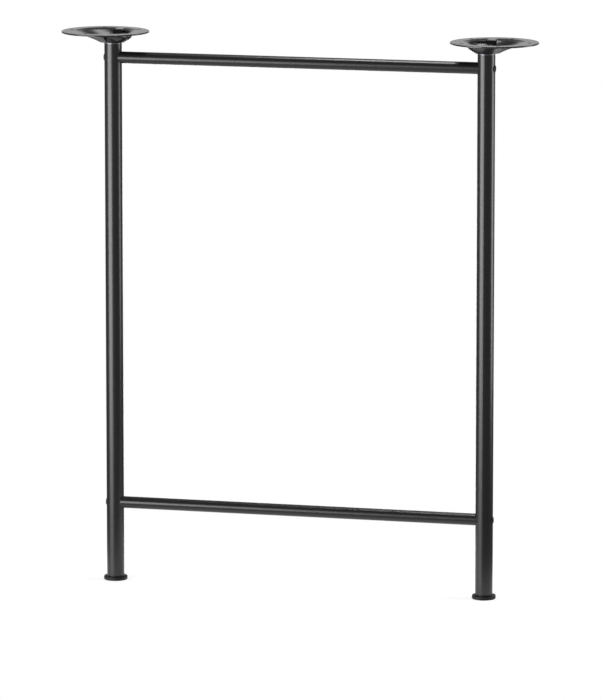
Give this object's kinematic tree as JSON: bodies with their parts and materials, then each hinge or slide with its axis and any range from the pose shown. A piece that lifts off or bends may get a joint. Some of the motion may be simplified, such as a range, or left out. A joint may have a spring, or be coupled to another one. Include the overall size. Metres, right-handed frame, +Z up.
{
  "type": "table leg",
  "caption": "Frame-type table leg: round steel uprights joined by crossbars, with a round dished plate on top of each to screw under a table top, and a round foot below.",
  "frame": {"origin": "on the floor, midway between the two feet", "axes": "+Z up towards the table top, X along the crossbars, Y across the frame"},
  "size_m": [0.61, 0.11, 0.7],
  "materials": {
    "tube_paint": "black satin powder coat",
    "plate_paint": "black semi-gloss powder coat",
    "black_zinc": "black zinc plate, satin",
    "zinc_steel": "bright zinc plate",
    "black_plastic": "fine moulded grain"
  },
  "bodies": {
    "root": {"left_upright": "tube_paint", "right_upright": "tube_paint", "upper_crossbar": "tube_paint", "lower_crossbar": "tube_paint", "left_mounting_plate": "plate_paint", "right_mounting_plate": "plate_paint", "left_plate_bush": "zinc_steel", "right_plate_bush": "zinc_steel", "left_stud": "zinc_steel", "right_stud": "zinc_steel", "left_top_plug": "black_zinc", "right_top_plug": "black_zinc", "left_foot": "black_plastic", "right_foot": "black_plastic", "upper_left_insert": "zinc_steel", "upper_right_insert": "zinc_steel", "lower_left_insert": "zinc_steel", "lower_right_insert": "zinc_steel", "crossbar_screws": "black_zinc"}
  },
  "joints": []
}
